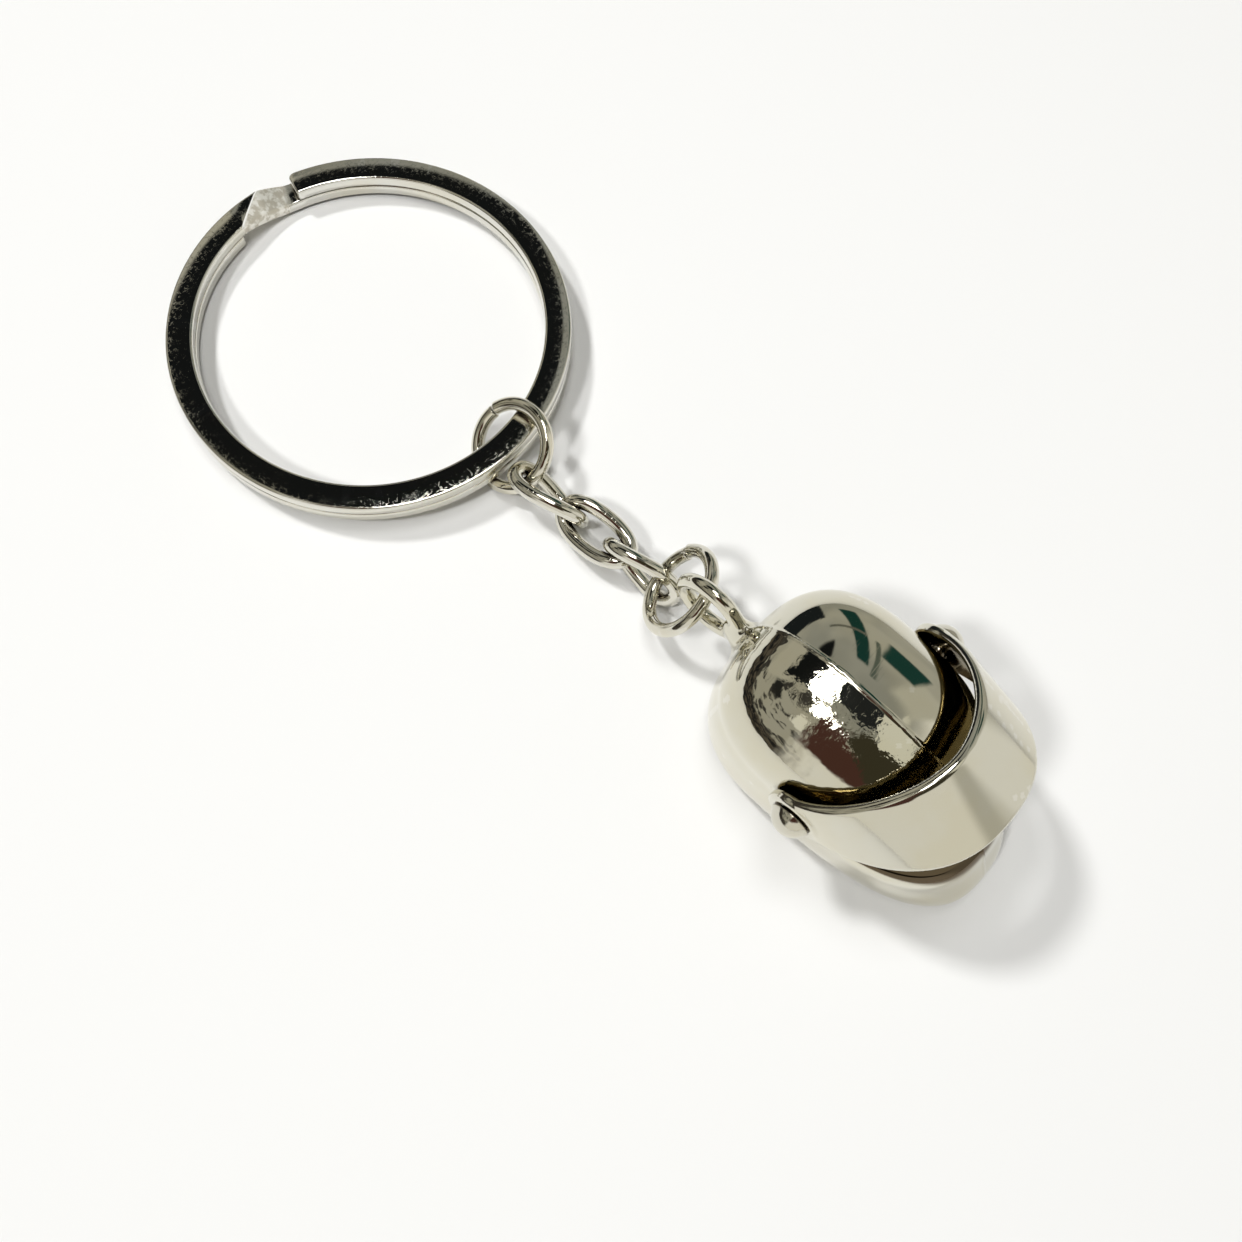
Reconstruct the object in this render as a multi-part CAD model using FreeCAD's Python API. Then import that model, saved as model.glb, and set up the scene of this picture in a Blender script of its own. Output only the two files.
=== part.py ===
"""Key ring with a short curb chain and a full-face helmet charm, in millimetres.

Frame: the origin is on the ground under the split ring's centre, +X runs along the chain to the
charm, +Z is up.  The ring lies on the ground at one side and on the jump ring's wire at the other,
so it is tipped by a couple of degrees.  The charm stands on its neck rim with its visor part raised.
"""
import FreeCAD
import Part
import math
import os

os.makedirs("parts", exist_ok=True)

V = FreeCAD.Vector
X_AXIS = V(1, 0, 0)
Y_AXIS = V(0, 1, 0)
Z_AXIS = V(0, 0, 1)
ORIGIN = V(0, 0, 0)

# ---- split ring: flat wire wound two turns, 30 mm across
RING_OUTER_D = 30.0
RING_WIRE_W = 2.0
RING_WIRE_T = 0.97
RING_LAYER_PITCH = 1.01
RING_EDGE_R = 0.22
RING_TIP_DEG = 161.7        # where the upper layer's free end lies
RING_JOGGLE_DEG = 21.0      # length of the step from the upper layer to the lower one
RING_END_LAP_DEG = 1.6      # how far the lower free end stops short of the step
RING_TILT_DEG = 2.4

# ---- round-wire jump rings, cut through once and slightly sprung
JUMP_R = 3.05
JUMP_WIRE_D = 1.0
JUMP_CUT_DEG = 5.0
JUMP_SPRING = 0.24          # offset between the two cut ends, along the ring's axis
RING_JUMP = {"centre": V(14.21, 0.37, 2.46), "tilt_x": 36.1, "tilt_y": -13.2, "cut_deg": 152.0}
CHARM_JUMP = {"centre": V(30.74, 0.16, 4.20), "tilt_x": 20.0, "tilt_y": -50.0, "cut_deg": 112.0}

# ---- curb chain links: an oval of round wire, twisted about its long axis
LINK_WIRE_D = 1.1
LINK_HALF_LENGTH = 2.95     # to the wire's centre line
LINK_HALF_WIDTH = 1.42
LINK_SQUARENESS = 2.4       # exponent of the oval, 2 is an ellipse
LINK_POINTS = 24
LINK_TWIST_DEG = -50.0      # from one end of the oval to the other
LINKS = {
    "chain_link_1": {"centre": V(18.80, -0.47, 2.19), "yaw": 6.6, "pitch": 7.8, "roll": -52.3},
    "chain_link_2": {"centre": V(23.12, -0.14, 2.12), "yaw": 2.8, "pitch": -2.7, "roll": 17.1},
    "chain_link_3": {"centre": V(27.47, 0.05, 2.07), "yaw": 5.5, "pitch": 9.6, "roll": 86.5},
}

# ---- helmet shell: plan outlines from the neck rim up, then a crown with full shoulders
SHELL_X = 44.3              # middle of the crown
WALL = 1.0
PLAN_SQUARENESS = 2.6       # exponent of every plan outline, 2 is an ellipse
# height, rear half length, half width, front half length of the body, from the rim up
BODY_OUTLINE = [
    (0.0, 6.3, 6.0, 13.7),
    (0.9, 6.8, 6.5, 14.6),
    (2.6, 7.5, 6.95, 14.7),
    (5.0, 7.8, 7.1, 13.5),
    (6.9, 7.75, 7.08, 12.2),
]
CROWN_BASE = (8.4, 7.7, 7.0, 10.3)
CROWN_HEIGHT = 5.6
CROWN_SQUARENESS = 2.3      # exponent of the crown's upright profile
CROWN_ANGLES = [0, 14, 27, 39, 50, 60, 69, 77, 84]
OUTLINE_POINTS = 40
NECK_SCALE = 0.86           # the neck opening against the body's lowest outline

# ---- visor pivot and visor, drawn closed and then turned to the rest angle
PIVOT = V(46.3, 0.0, 9.6)
VISOR_RAISED_DEG = 40.0
VISOR_WALL = 0.7
EAR_INNER_Y = 7.05
EAR_R = 1.95                # the ears are round about the pivot
EAR_PROUD = 0.04            # how far the ears stand out of the band's faces
EAR_FLAT_GAP = 0.05
EAR_FLAT_R = 2.3
VISOR_TOP_REACH = 7.85      # front of the upper rim, from the pivot
VISOR_LOW_REACH = 10.2      # front of the lower edge, from the pivot
VISOR_TOP_SQUARENESS = 1.8  # the rim runs in toward the brow, the lower edge is fuller
VISOR_LOW_SQUARENESS = 2.4
VISOR_TOP_SLOPE = 0.06
VISOR_LOW_SLOPE = -0.078
VISOR_HALF_AT_PIVOT = 1.9   # half the band's height at the ears
VISOR_POINTS = 17
SILL_GAP = 0.2              # between the closed visor's lower edge and the chin bar
BROW_AT_PIVOT = 0.9
PORT_REAR_X = 48.1
PORT_CORNER_R = 0.9
FAR_X = 64.0                # beyond the chin, for cutting tools
FAR_Y = 12.0

# ---- visor rivets
RIVET_R = 0.6
RIVET_RUNNING_GAP = 0.05
RIVET_HEAD_R = 1.4
RIVET_HEAD_H = 1.1
RIVET_TAIL_R = 0.95
RIVET_TAIL_H = 0.3

# ---- cast eye on the back of the shell
EYE_CENTRE = V(33.3, 0.0, 6.6)
EYE_R = 2.35
EYE_WIRE_D = 1.1
EYE_ROOT_R = 0.7
EYE_FLARE_R = 1.7


def export(shape, node):
    shape.exportStep("parts/" + node + ".step")


def placed(shape, placement):
    """A copy of the shape moved by the placement."""
    moved = shape.copy()
    moved.Placement = placement.multiply(moved.Placement)
    return moved


def turn(axis, degrees, about=ORIGIN):
    """A placement that turns by the angle about an axis through a point."""
    return FreeCAD.Placement(ORIGIN, FreeCAD.Rotation(axis, degrees), about)


def closed_curve(points):
    curve = Part.BSplineCurve()
    curve.interpolate(points, PeriodicFlag=True)
    return curve


def tube(path_edge, start, direction, radius):
    """A round wire swept along an open path."""
    ring = Part.Wire([Part.Circle(start, direction, radius).toShape()])
    return Part.Wire([path_edge]).makePipeShell([ring], True, True)


# ---- split ring

def ring_section(middle_z):
    """The flat wire's section with rounded edges, in the XZ plane at the ring's mean radius."""
    left = RING_OUTER_D / 2 - RING_WIRE_W
    corner = V(left, 0, middle_z - RING_WIRE_T / 2)
    box = Part.makeBox(RING_WIRE_W, 1.0, RING_WIRE_T, corner)
    box = box.makeFillet(RING_EDGE_R, [e for e in box.Edges if abs(e.tangentAt(e.FirstParameter).y) > 0.9])
    for face in box.Faces:
        if abs(face.CenterOfMass.y) < 1e-6:
            return face
    raise ValueError("the ring section has no end face")


def turned_section(middle_z, degrees):
    return placed(ring_section(middle_z), turn(Z_AXIS, degrees))


def split_ring():
    low_z = RING_WIRE_T / 2
    high_z = low_z + RING_LAYER_PITCH
    step_start = RING_TIP_DEG + RING_JOGGLE_DEG - 360.0
    upper_sweep = RING_TIP_DEG - step_start
    upper = turned_section(high_z, step_start).revolve(ORIGIN, Z_AXIS, upper_sweep)
    sections = []
    steps = 8
    for i in range(steps + 1):
        share = i / steps
        z = low_z + (high_z - low_z) * (1 - math.cos(math.pi * share)) / 2
        sections.append(turned_section(z, RING_TIP_DEG + RING_JOGGLE_DEG * share).OuterWire)
    joggle = Part.makeLoft(sections, True, False)
    lower_start = step_start + RING_END_LAP_DEG
    lower = turned_section(low_z, lower_start).revolve(ORIGIN, Z_AXIS, RING_TIP_DEG - lower_start)
    whole = upper.fuse([joggle, lower])
    lift = RING_OUTER_D / 2 * math.sin(math.radians(RING_TILT_DEG))
    tilt = FreeCAD.Placement(V(0, 0, lift), FreeCAD.Rotation(Y_AXIS, -RING_TILT_DEG))
    return placed(whole, tilt)


# ---- jump rings

def jump_ring(setting):
    """Nearly one turn of round wire, whose cut ends are sprung apart along the ring's axis."""
    sweep = 360.0 - JUMP_CUT_DEG
    pitch = JUMP_SPRING * 360.0 / sweep
    path = Part.makeHelix(pitch, JUMP_SPRING, JUMP_R)
    climb = math.degrees(math.atan2(pitch, 2 * math.pi * JUMP_R))
    direction = V(0, math.cos(math.radians(climb)), math.sin(math.radians(climb)))
    ring = Part.Wire([Part.Circle(V(JUMP_R, 0, 0), direction, JUMP_WIRE_D / 2).toShape()])
    wire = Part.Wire(path.Edges).makePipeShell([ring], True, True)
    wire = placed(wire, FreeCAD.Placement(V(0, 0, -JUMP_SPRING / 2), FreeCAD.Rotation()))
    wire = placed(wire, turn(Z_AXIS, setting["cut_deg"] + JUMP_CUT_DEG / 2))
    lean = FreeCAD.Rotation(Y_AXIS, setting["tilt_y"]).multiply(FreeCAD.Rotation(X_AXIS, setting["tilt_x"]))
    return placed(wire, FreeCAD.Placement(setting["centre"], lean))


# ---- chain links

def link_point(angle):
    """A point of the twisted oval, before it is placed."""
    power = 2 / LINK_SQUARENESS
    along = LINK_HALF_LENGTH * math.copysign(abs(math.cos(angle)) ** power, math.cos(angle))
    across = LINK_HALF_WIDTH * math.copysign(abs(math.sin(angle)) ** power, math.sin(angle))
    roll = math.radians(LINK_TWIST_DEG) * along / (2 * LINK_HALF_LENGTH)
    return V(along, across * math.cos(roll), across * math.sin(roll))


def link_placement(setting):
    yaw = FreeCAD.Rotation(Z_AXIS, setting["yaw"])
    pitch = FreeCAD.Rotation(Y_AXIS, setting["pitch"])
    roll = FreeCAD.Rotation(X_AXIS, setting["roll"])
    return FreeCAD.Placement(setting["centre"], yaw.multiply(pitch).multiply(roll))


def chain_link(setting):
    angles = [2 * math.pi * (i + 0.5) / LINK_POINTS for i in range(LINK_POINTS)]
    curve = closed_curve([link_point(a) for a in angles])
    first = curve.FirstParameter
    middle = (first + curve.LastParameter) / 2
    halves = []
    for start, end in ((first, middle), (middle, curve.LastParameter)):
        edge = curve.toShape(start, end)
        halves.append(tube(edge, curve.value(start), curve.tangent(start)[0], LINK_WIRE_D / 2))
    return placed(halves[0].fuse(halves[1]), link_placement(setting))


# ---- helmet

def outline(z, rear, half_width, front):
    """A plan outline at one height: a squarish oval, longer ahead of the crown's middle than behind it."""
    power = 2 / PLAN_SQUARENESS
    points = []
    for i in range(OUTLINE_POINTS):
        angle = 2 * math.pi * (i + 0.5) / OUTLINE_POINTS
        c = math.cos(angle)
        s = math.sin(angle)
        reach = front if c > 0 else rear
        x = SHELL_X + reach * math.copysign(abs(c) ** power, c)
        y = half_width * math.copysign(abs(s) ** power, s)
        points.append(V(x, y, z))
    return Part.Wire([closed_curve(points).toShape()])


def helmet_solid(inset=0.0):
    """The helmet's outside, or with an inset its hollow, lofted from the neck rim to the crown."""
    sections = []
    for z, rear, half_width, front in BODY_OUTLINE:
        sections.append(outline(z, rear - inset, half_width - inset, front - inset))
    base_z, rear, half_width, front = CROWN_BASE
    for degrees in CROWN_ANGLES:
        angle = math.radians(degrees)
        share = math.cos(angle) ** (2 / CROWN_SQUARENESS)
        z = base_z + (CROWN_HEIGHT - inset) * math.sin(angle) ** (2 / CROWN_SQUARENESS)
        sizes = [(size - inset) * share for size in (rear, half_width, front)]
        sections.append(outline(z, *sizes))
    return Part.makeLoft(sections, True, False)


def visor_plane_z(x, at_pivot, slope):
    return PIVOT.z + at_pivot + slope * (x - PIVOT.x)


def side_block(corners, half_width, corner_r=0.0):
    """A prism across the whole helmet from corners in the XZ plane, optionally with round edges."""
    points = [V(x, -half_width, z) for x, z in corners]
    face = Part.Face(Part.makePolygon(points + points[:1]))
    block = face.extrude(V(0, 2 * half_width, 0))
    if corner_r:
        rear = [e for e in block.Edges if abs(e.tangentAt(e.FirstParameter).y) > 0.9
                and e.CenterOfMass.x < PORT_REAR_X + corner_r]
        block = block.makeFillet(corner_r, rear)
    return block


def neck_opening():
    z, rear, half_width, front = BODY_OUTLINE[0]
    face = Part.Face(outline(z, rear * NECK_SCALE, half_width * NECK_SCALE, front * NECK_SCALE))
    hole = face.extrude(V(0, 0, 2 * WALL))
    hole.translate(V(0, 0, -WALL / 2))
    return hole


def eye_port():
    """The cut for the eye port, from the chin bar's upper edge to the brow."""
    sill = -EAR_R - SILL_GAP
    corners = []
    for x, at_pivot, slope in ((PORT_REAR_X, sill, VISOR_LOW_SLOPE), (FAR_X, sill, VISOR_LOW_SLOPE),
                               (FAR_X, BROW_AT_PIVOT, VISOR_TOP_SLOPE),
                               (PORT_REAR_X, BROW_AT_PIVOT, VISOR_TOP_SLOPE)):
        corners.append((x, visor_plane_z(x, at_pivot, slope)))
    return side_block(corners, FAR_Y, PORT_CORNER_R)


def helmet_shell():
    shell = helmet_solid().cut(helmet_solid(WALL)).cut(neck_opening()).cut(eye_port())
    for side in (-1, 1):
        outward = V(0, side, 0)
        flat_y = EAR_INNER_Y - EAR_FLAT_GAP
        shell = shell.cut(Part.makeCylinder(EAR_FLAT_R, WALL, V(PIVOT.x, side * flat_y, PIVOT.z), outward))
        shell = shell.cut(Part.makeCylinder(RIVET_R, FAR_Y, V(PIVOT.x, 0, PIVOT.z), outward))
    return shell.fuse(eye()).removeSplitter()


def eye():
    """The cast loop: a round-wire ring in the plane of symmetry with a root that flares on the shell."""
    loop = Part.makeTorus(EYE_R, EYE_WIRE_D / 2, EYE_CENTRE, Y_AXIS)
    root_x = EYE_CENTRE.x + EYE_R - EYE_WIRE_D / 4
    shell_x = SHELL_X - CROWN_BASE[1]
    start = V(root_x, 0, EYE_CENTRE.z)
    throat = V((root_x + shell_x) / 2, 0, EYE_CENTRE.z + EYE_ROOT_R * 1.15)
    profile = Part.BSplineCurve()
    profile.interpolate([V(root_x, 0, EYE_CENTRE.z + EYE_ROOT_R), throat, V(shell_x + WALL / 2, 0,
                        EYE_CENTRE.z + EYE_FLARE_R)])
    end = V(shell_x + WALL / 2, 0, EYE_CENTRE.z)
    edges = [profile.toShape(), Part.makeLine(profile.EndPoint, end), Part.makeLine(end, start),
             Part.makeLine(start, profile.StartPoint)]
    root = Part.Face(Part.Wire(edges)).revolve(start, X_AXIS, 360)
    return loop.fuse(root)


# ---- visor

def visor_edge(reach, squareness, height, slope, inset):
    """One edge of the closed visor: a full curve from ear to ear, lying in a sloping plane."""
    points = []
    width = EAR_INNER_Y + EAR_PROUD + VISOR_WALL - inset
    power = 2 / squareness
    for i in range(VISOR_POINTS):
        angle = math.pi * (i / (VISOR_POINTS - 1) - 0.5)
        forward = (reach - inset) * math.cos(angle) ** power if abs(angle) < math.pi / 2 - 1e-9 else 0.0
        side = width * math.copysign(abs(math.sin(angle)) ** power, math.sin(angle))
        points.append(V(PIVOT.x + forward, side, PIVOT.z + height + slope * forward))
    return points


def visor_section(reach, squareness, height, slope):
    """A flat closed wire round the visor's wall at one edge."""
    outer = Part.BSplineCurve()
    outer.interpolate(visor_edge(reach, squareness, height, slope, 0.0))
    inner = Part.BSplineCurve()
    inner.interpolate(visor_edge(reach, squareness, height, slope, VISOR_WALL))
    caps = [Part.makeLine(outer.StartPoint, inner.StartPoint), Part.makeLine(outer.EndPoint, inner.EndPoint)]
    return Part.Wire(Part.__sortEdges__([outer.toShape(), inner.toShape()] + caps))


def visor():
    low = visor_section(VISOR_LOW_REACH, VISOR_LOW_SQUARENESS, -VISOR_HALF_AT_PIVOT, VISOR_LOW_SLOPE)
    top = visor_section(VISOR_TOP_REACH, VISOR_TOP_SQUARENESS, VISOR_HALF_AT_PIVOT, VISOR_TOP_SLOPE)
    whole = Part.makeLoft([low, top], True, True)
    for side in (-1, 1):
        base = V(PIVOT.x, side * EAR_INNER_Y, PIVOT.z)
        whole = whole.fuse(Part.makeCylinder(EAR_R, VISOR_WALL + 2 * EAR_PROUD, base, V(0, side, 0)))
    for side in (-1, 1):
        bore = Part.makeCylinder(RIVET_R + RIVET_RUNNING_GAP, 3 * VISOR_WALL,
                                 V(PIVOT.x, side * (EAR_INNER_Y - VISOR_WALL), PIVOT.z), V(0, side, 0))
        whole = whole.cut(bore)
    return placed(whole.removeSplitter(), turn(Y_AXIS, -VISOR_RAISED_DEG, PIVOT))


# ---- rivets

def rivet(side):
    """A domed head outside the visor's ear, a shank, and a tail set over inside the shell."""
    seat = EAR_INNER_Y + VISOR_WALL + 2 * EAR_PROUD + RIVET_RUNNING_GAP
    ball_r = (RIVET_HEAD_R ** 2 + RIVET_HEAD_H ** 2) / (2 * RIVET_HEAD_H)
    inside = EAR_INNER_Y - EAR_FLAT_GAP - WALL - RIVET_TAIL_H
    dome = Part.makeSphere(ball_r, V(0, 0, seat + RIVET_HEAD_H - ball_r))
    dome = dome.common(Part.makeCylinder(RIVET_HEAD_R * 2, ball_r * 2, V(0, 0, seat)))
    shank = Part.makeCylinder(RIVET_R, seat + RIVET_HEAD_H / 2 - inside, V(0, 0, inside))
    tail = Part.makeCone(RIVET_TAIL_R, RIVET_R, RIVET_TAIL_H, V(0, 0, inside))
    pin = dome.fuse([shank, tail])
    return placed(pin, FreeCAD.Placement(PIVOT, FreeCAD.Rotation(X_AXIS, -90.0 * side)))


export(split_ring(), "split_ring")
export(jump_ring(RING_JUMP), "ring_jump_ring")
for link_name, link_setting in LINKS.items():
    export(chain_link(link_setting), link_name)
export(jump_ring(CHARM_JUMP), "charm_jump_ring")
export(helmet_shell(), "helmet_shell")
export(visor(), "visor")
export(rivet(-1), "visor_rivet_right")
export(rivet(1), "visor_rivet_left")
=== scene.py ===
"""The looks of the split key ring, its curb chain and its helmet charm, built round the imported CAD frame.

Shapes are worked out in millimetres, in the CAD's own frame, and turned into metres when a mesh is
made. Bright plate is mostly a picture of what stands round it, so the studio in world() matters as much
as the material does.
"""

import math

import bpy
import numpy as np
from mathutils import Matrix, Vector

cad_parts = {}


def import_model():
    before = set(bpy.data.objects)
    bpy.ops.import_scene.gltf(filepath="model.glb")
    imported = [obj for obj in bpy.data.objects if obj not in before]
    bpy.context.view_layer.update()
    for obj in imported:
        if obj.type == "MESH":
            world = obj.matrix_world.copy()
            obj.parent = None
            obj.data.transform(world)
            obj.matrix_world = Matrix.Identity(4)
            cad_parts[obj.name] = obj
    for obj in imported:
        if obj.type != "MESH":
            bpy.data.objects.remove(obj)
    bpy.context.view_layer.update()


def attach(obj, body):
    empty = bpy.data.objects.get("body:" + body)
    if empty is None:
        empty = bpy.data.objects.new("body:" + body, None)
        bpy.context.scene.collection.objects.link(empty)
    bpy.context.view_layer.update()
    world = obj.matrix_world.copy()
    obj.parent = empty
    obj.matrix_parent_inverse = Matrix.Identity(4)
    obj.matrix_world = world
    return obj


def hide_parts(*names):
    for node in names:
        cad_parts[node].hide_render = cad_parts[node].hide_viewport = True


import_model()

MM = 0.001

# ---- the CAD's driving dimensions and the edge roundings that the looks add, in millimetres and degrees
RING_OUTER_R = 15.0
RING_WIRE_W = 2.0
RING_WIRE_T = 0.97
RING_PITCH = 1.01
RING_EDGE_R = 0.22
RING_TIP = 161.7
RING_JOGGLE = 21.0
RING_END_LAP = 1.6
RING_TILT = 2.4
RING_FOOT = 0.3             # share of the step's length that its easy foot takes
RING_CREASE = 0.09          # and the tight crease at its top
RING_STEP_SHARE = 0.80      # the step's length at mid wire, against RING_JOGGLE
RING_STEP_SLANT = 0.30      # how much shorter it is at the outer edge, longer at the inner
RING_END_OUTER_R = 0.55     # rounding of the wire's ends in plan, at the outer corner
RING_END_INNER_R = 0.3
RING_END_FACE_R = 0.16      # and of their top and bottom edges

JUMP_R = 3.05
JUMP_WIRE_R = 0.5
JUMP_CUT = 5.0
JUMP_SPRING = 0.24
JUMP_END_TRIM = 1.7         # degrees that the rounded ends take at each side of the cut
WIRE_END_ROUND = 0.09
JUMP_RINGS = {              # centre, tilt about X, then about Y, and where the ring is cut
    "ring_jump_ring": ((14.21, 0.37, 2.46), 36.1, -13.2, 152.0),
    "charm_jump_ring": ((30.74, 0.16, 4.20), 20.0, -50.0, 112.0),
}

LINK_WIRE_R = 0.55
LINK_HALF_LENGTH = 2.95
LINK_HALF_WIDTH = 1.42
LINK_SQUARENESS = 2.4
LINK_TWIST = -50.0
LINKS = {                   # centre, yaw, pitch and roll
    "chain_link_1": ((18.80, -0.47, 2.19), 6.6, 7.8, -52.3),
    "chain_link_2": ((23.12, -0.14, 2.12), 2.8, -2.7, 17.1),
    "chain_link_3": ((27.47, 0.05, 2.07), 5.5, 9.6, 86.5),
}

SHELL_X = 44.3
WALL = 1.0
PLAN_SQUARENESS = 2.6
# the body's plan outlines: height, then rear half length, half width and front half length at each
OUTLINE_Z = [0.0, 0.9, 2.6, 5.0, 6.9, 8.4]
OUTLINE_REAR = [6.3, 6.8, 7.5, 7.8, 7.75, 7.7]
OUTLINE_HALF = [6.0, 6.5, 6.95, 7.1, 7.08, 7.0]
OUTLINE_FRONT = [13.7, 14.6, 14.7, 13.5, 12.2, 10.3]
CROWN_BASE_Z = 8.4
CROWN_HEIGHT = 5.6
CROWN_SQUARENESS = 2.3
NECK_SCALE = 0.86           # the neck opening against the lowest outline
NECK_DEPTH = 1.5
KEEL_HALF_WIDTH = 0.10      # the fine parting ridge over the crown
KEEL_HEIGHT = 0.075
KEEL_SKIRT_WIDTH = 0.9
KEEL_SKIRT_HEIGHT = 0.05
KEEL_FADE_Z = 3.0
KEEL_FADE_RATE = 3.0
RIM_ROUND = 0.22            # how far each edge or join is rounded off, here and below
HOLLOW_ROUND = 0.2
NECK_ROUND = 0.3
PORT_EDGE_ROUND = 0.3
FLAT_ROUND = 0.08
BORE_ROUND = 0.05

PIVOT = (46.3, 0.0, 9.6)
VISOR_RAISED = 40.0
VISOR_WALL = 0.7
EAR_INNER_Y = 7.05
EAR_R = 1.95
EAR_PROUD = 0.04            # how far the ears stand out of the band's faces
VISOR_TOP_REACH = 7.85      # front of the upper rim, from the pivot
VISOR_LOW_REACH = 10.2
VISOR_TOP_SQUARENESS = 1.8
VISOR_LOW_SQUARENESS = 2.4
VISOR_TOP_SLOPE = 0.06
VISOR_LOW_SLOPE = -0.078
VISOR_HALF_AT_PIVOT = 1.9
SILL_GAP = 0.2
BROW_AT_PIVOT = 0.9
PORT_REAR_X = 48.1
PORT_CORNER = 1.5
FLAT_Y = 7.0                # the flats that the ears turn against
FLAT_R = 2.3
BORE_FROM_Y = 5.0
VISOR_INNER_ROUND = 0.3
VISOR_EDGE_ROUND = 0.42
EAR_ROUND = 0.3
EAR_BLEND = 0.1

RIVET_R = 0.6
RIVET_GAP = 0.05
RIVET_HEAD_R = 1.4
RIVET_HEAD_H = 1.1
RIVET_TAIL_R = 0.95
RIVET_TAIL_H = 0.3
RIVET_LIP_R = 0.1
RIVET_AROUND = 56

EYE_CENTRE = (33.3, 0.0, 6.6)
EYE_R = 2.35
EYE_WIRE_R = 0.55
EYE_ROOT_R = 0.62
EYE_ROOT_BLEND = 0.9
EYE_BODY_BLEND = 1.5


# ---------------------------------------------------------------- meshes

def add_mesh(name, points_mm, faces, body, slot, material, normals=None):
    """A smooth mesh that rides on its body and stands for the CAD node of the same name."""
    mesh = bpy.data.meshes.new(name + "_look")
    mesh.from_pydata((np.asarray(points_mm, float) * MM).tolist(), [], faces)
    mesh.update()
    mesh.polygons.foreach_set("use_smooth", [True] * len(mesh.polygons))
    if normals is not None:
        mesh.normals_split_custom_set_from_vertices(np.asarray(normals, float).tolist())
    mesh.materials.append(material)
    piece = bpy.data.objects.new(name + "_look", mesh)
    bpy.context.scene.collection.objects.link(piece)
    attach(piece, body)
    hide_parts(name)


def turned(points, axis, degrees, about=(0.0, 0.0, 0.0)):
    """The points turned about an axis through a given place."""
    turn = np.array(Matrix.Rotation(math.radians(degrees), 3, axis))
    return (np.asarray(points, float) - about) @ turn.T + about


def tube_faces(rings, around, closed):
    """Quads between neighbouring rings of points, and one cap at each end of an open tube."""
    faces = []
    for i in range(rings if closed else rings - 1):
        here = i * around
        there = (i + 1) % rings * around
        for j in range(around):
            k = (j + 1) % around
            faces.append((here + j, here + k, there + k, there + j))
    if not closed:
        faces.append(tuple(range(around))[::-1])
        faces.append(tuple(range((rings - 1) * around, rings * around)))
    return faces


def path_frames(path, closed):
    """Tangent and two side directions along a path, carried along with no twist."""
    if closed:
        tangent = np.roll(path, -1, 0) - np.roll(path, 1, 0)
    else:
        tangent = np.gradient(path, axis=0)
    tangent /= np.linalg.norm(tangent, axis=1)[:, None]
    side = np.cross(tangent[0], [0.31, 0.52, 0.79])
    side /= np.linalg.norm(side)
    sides = []
    for t in tangent:
        side = side - t * (side @ t)
        side /= np.linalg.norm(side)
        sides.append(side)
    sides = np.array(sides)
    if closed:
        first, last = sides[0], sides[-1] - tangent[0] * (sides[-1] @ tangent[0])
        angle = math.atan2(np.cross(last, first) @ tangent[0], last @ first)
        spread = angle * np.arange(len(path)) / len(path)
        other = np.cross(tangent, sides)
        sides = sides * np.cos(spread)[:, None] + other * np.sin(spread)[:, None]
    return tangent, sides, np.cross(tangent, sides)


def wire(path, radius, closed, around=28):
    """A round wire along a path; an open wire gets softly rounded cut ends."""
    tangent, side, other = path_frames(path, closed)
    angle = np.linspace(0, 2 * math.pi, around, endpoint=False)[None, :, None]
    circle = np.cos(angle) * side[:, None, :] + np.sin(angle) * other[:, None, :]
    rings = path[:, None, :] + circle * radius
    if closed:
        return rings.reshape(-1, 3), tube_faces(len(path), around, True)
    steps = np.linspace(0, math.pi / 2, 6)[1:]
    start, end = [], []
    for step in steps:
        shrink = radius - WIRE_END_ROUND * (1 - math.cos(step))
        push = WIRE_END_ROUND * math.sin(step)
        start.append(path[0] - tangent[0] * push + circle[0] * shrink)
        end.append(path[-1] + tangent[-1] * push + circle[-1] * shrink)
    rings = np.concatenate([np.array(start[::-1]), rings, np.array(end)])
    return rings.reshape(-1, 3), tube_faces(len(rings), around, False)


# ---------------------------------------------------------------- smooth solids

def least(a, b, blend):
    """Union of two distance fields with a rounded join."""
    h = np.maximum(blend - np.abs(a - b), 0.0) / blend
    return np.minimum(a, b) - h * h * blend * 0.25


def most(a, b, blend):
    """Overlap of two distance fields with a rounded edge."""
    return -least(-a, -b, blend)


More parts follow.
